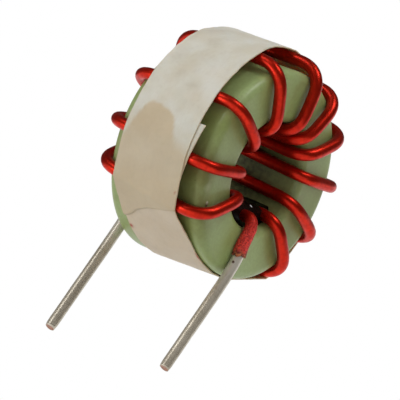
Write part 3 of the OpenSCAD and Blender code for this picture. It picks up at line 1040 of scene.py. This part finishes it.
def add_camera():
    data = bpy.data.cameras.new("camera")
    data.lens = VIEW_LENS
    data.sensor_width = SENSOR_W
    data.clip_start, data.clip_end = CLIP_NEAR, CLIP_FAR
    camera = bpy.data.objects.new("camera", data)
    bpy.context.scene.collection.objects.link(camera)
    aim = RING + RIGHT * AIM_RIGHT + UP * AIM_UP
    camera.matrix_world = turned(RIGHT, UP, TOWARD, aim + TOWARD * VIEW_DISTANCE)
    bpy.context.scene.camera = camera


def add_lamp(name, direction, side, watts):
    """A square soft lamp that faces the ring from a direction."""
    data = bpy.data.lights.new(name, "AREA")
    data.shape = "SQUARE"
    data.size = side
    data.energy = watts
    lamp = bpy.data.objects.new(name, data)
    bpy.context.scene.collection.objects.link(lamp)
    direction = direction.normalized()
    facing = direction.to_track_quat("Z", "Y").to_matrix().to_4x4()
    lamp.matrix_world = Matrix.Translation(RING + direction * LAMP_DISTANCE) @ facing
    lamp.visible_camera = False


def add_lamps():
    for name, ((right, up, toward), side, watts) in LAMPS.items():
        add_lamp(name, UP * up + RIGHT * right + TOWARD * toward, side, watts)


def ray_kinds(add, link):
    """1 for the rays that are to see the white background itself, 0 for those that light."""
    path = add("ShaderNodeLightPath")
    found = path.outputs["Is Camera Ray"]
    for other in ("Is Glossy Ray", "Is Transmission Ray"):
        either = add("ShaderNodeMath")
        either.operation = "MAXIMUM"
        link(found, either.inputs[0])
        link(path.outputs[other], either.inputs[1])
        found = either.outputs[0]
    return found


def add_world():
    """White for the rays that see it; as light, a little stronger from the table's side."""
    world = bpy.data.worlds.new("studio")
    bpy.context.scene.world = world
    world.use_nodes = True
    nodes, link = world.node_tree.nodes, world.node_tree.links.new
    nodes.clear()
    place = nodes.new("ShaderNodeTexCoord")
    side = nodes.new("ShaderNodeVectorMath")
    side.operation = "DOT_PRODUCT"
    link(place.outputs["Generated"], side.inputs[0])
    side.inputs[1].default_value = -TABLE_UP
    level = nodes.new("ShaderNodeMapRange")
    link(side.outputs["Value"], level.inputs["Value"])
    ends = {"From Min": -0.5, "From Max": 0.5, "To Min": LIGHT_ABOVE, "To Max": LIGHT_TABLE}
    for key, value in ends.items():
        level.inputs[key].default_value = value
    backdrop, ambient = nodes.new("ShaderNodeBackground"), nodes.new("ShaderNodeBackground")
    backdrop.inputs["Color"].default_value = (1, 1, 1, 1)
    backdrop.inputs["Strength"].default_value = 1
    ambient.inputs["Color"].default_value = WARM_WHITE
    link(level.outputs["Result"], ambient.inputs["Strength"])
    mix, out = nodes.new("ShaderNodeMixShader"), nodes.new("ShaderNodeOutputWorld")
    link(ray_kinds(nodes.new, link), mix.inputs["Fac"])
    link(ambient.outputs[0], mix.inputs[1])
    link(backdrop.outputs[0], mix.inputs[2])
    link(mix.outputs[0], out.inputs["Surface"])


def add_stage_mesh(name, verts, faces, material):
    mesh = bpy.data.meshes.new(name)
    mesh.from_pydata(verts, [], faces)
    mesh.materials.append(material)
    obj = bpy.data.objects.new(name, mesh)
    bpy.context.scene.collection.objects.link(obj)
    return obj


def circle(r, z, sides):
    turns = [2 * math.pi * k / sides for k in range(sides)]
    return [(r * math.cos(w), r * math.sin(w), z) for w in turns]


def add_flag():
    """The dim room: a dark dome behind the lamps that only reflections see.

    It hides the white background from them above ROOM_FROM."""
    n = Nodes("room")
    glow = n.add("ShaderNodeEmission")
    n.link(n.mix(n.noise(0.6, 2), (0.05, 0.045, 0.04), (0.12, 0.11, 0.1)), glow.inputs["Color"])
    n.link(glow.outputs[0], n.out.inputs["Surface"])
    verts = []
    for i in range(ROOM_ROWS + 1):
        up = rad(between(ROOM_FROM, 90, i / ROOM_ROWS))
        verts += circle(ROOM_R * math.cos(up), ROOM_R * math.sin(up), ROOM_SIDES)
    room = add_stage_mesh("room", verts, grid_faces(ROOM_ROWS + 1, ROOM_SIDES, True), n.material)
    room.matrix_world = Matrix.Translation(RING) @ TABLE_UP.to_track_quat("Z", "Y").to_matrix().to_4x4()
    room.visible_camera = room.visible_diffuse = room.visible_transmission = False
    room.visible_shadow = room.visible_volume_scatter = False


def add_floor():
    """A wide pale floor, far below, so that it is never between the camera and the part."""
    n = Nodes("floor")
    n.set(Base_Color=n.mix(n.noise(3.0, 4), (0.86, 0.86, 0.85), (0.9, 0.9, 0.89)), Roughness=0.8)
    glow, mix = n.add("ShaderNodeEmission"), n.add("ShaderNodeMixShader")
    glow.inputs["Strength"].default_value = 1.0
    n.link(ray_kinds(n.add, n.link), mix.inputs["Fac"])
    n.link(n.shader.outputs[0], mix.inputs[1])
    n.link(glow.outputs[0], mix.inputs[2])
    n.link(mix.outputs[0], n.out.inputs["Surface"])
    verts = [(0, 0, 0)]
    for i in range(1, FLOOR_ROWS + 1):
        verts += circle(FLOOR_R * i / FLOOR_ROWS, 0, FLOOR_SIDES)
    faces = [[0, 1 + k, 1 + (k + 1) % FLOOR_SIDES] for k in range(FLOOR_SIDES)]
    faces += grid_faces(FLOOR_ROWS, FLOOR_SIDES, True, 1)
    floor = add_stage_mesh("floor", verts, faces, n.material)
    floor.location = (0, 0, -FLOOR_DROP)


# -------- the scene


def dress_core(material):
    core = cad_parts["core"]
    core.data.materials.clear()
    core.data.materials.append(material)


def build():
    dress_core(core_coat())
    build_winding(enamel())
    metal = tin()
    route, at = wire_route(WIRE_SPACING)
    # The bare wire goes on a little way into the enamel at both ends
    into_front = route[at < BURNT_BACK + LEAD_INTO_FRONT]
    into_rear = route[at > at[-1] - LEAD_INTO_REAR][::-1]
    nick = (NICK_AT, np.array(RIGHT))
    front = (LEAD_FRONT_X, -LEAD_Y, LEAD_FRONT_L, into_front, FRONT_SEED, nick)
    rear = (LEAD_REAR_X, LEAD_Y, LEAD_REAR_L, into_rear, REAR_SEED, None)
    build_lead("bare_lead_front", "lead_front", *front, metal)
    build_lead("bare_lead_rear", "lead_rear", *rear, metal)
    build_tape(tape_paper())
    build_adhesive(adhesive_black())


bpy.context.scene.view_settings.view_transform = "Standard"
add_camera()
add_world()
add_lamps()
add_floor()
add_flag()
build()

bpy.context.view_layer.update()
